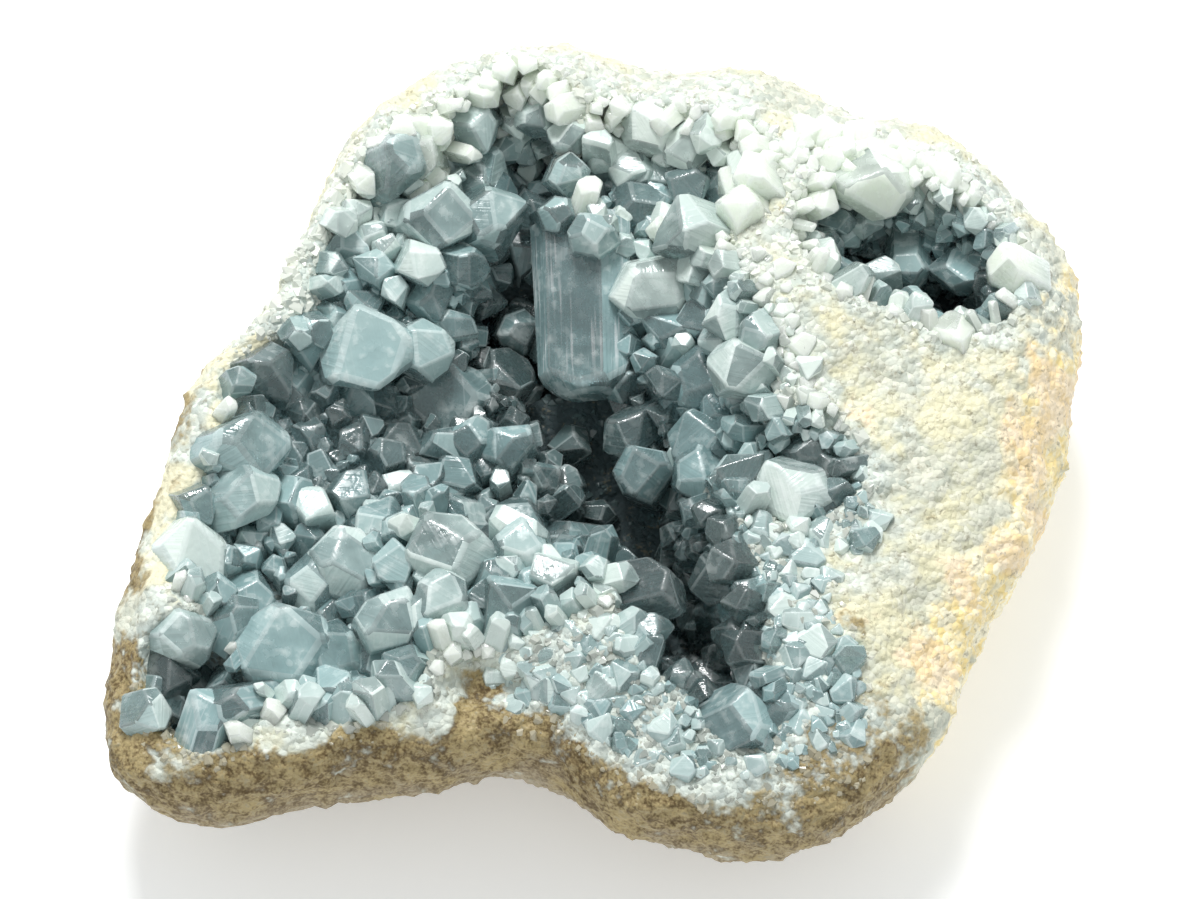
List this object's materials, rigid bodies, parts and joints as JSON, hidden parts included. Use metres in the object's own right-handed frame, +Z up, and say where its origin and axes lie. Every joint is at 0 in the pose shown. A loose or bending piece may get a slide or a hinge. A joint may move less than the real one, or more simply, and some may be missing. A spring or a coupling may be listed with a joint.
{
  "type": "celestite crystal cluster",
  "caption": "Chunk of a celestite geode lying open side up: pale granular host rock whose hollows are lined with blocky, translucent pale blue crystals.",
  "frame": {"origin": "on the ground, under the middle of the object's bounding box", "axes": "+Z up, out of the open side of the geode; +X along its longest side, towards the side vug; -Y towards the notched front edge"},
  "size_m": [0.1646, 0.1458, 0.0554],
  "materials": {
    "pale_host_rock": "matt, granular, off-white to pale blue with tan marl and brown rind",
    "blue_celestite": "cloudy translucent pale blue crystal with glossy flat faces"
  },
  "bodies": {
    "root": {"host_rock": "pale_host_rock", "main_hollow_crystals": "blue_celestite", "side_vug_crystals": "blue_celestite"}
  },
  "joints": []
}
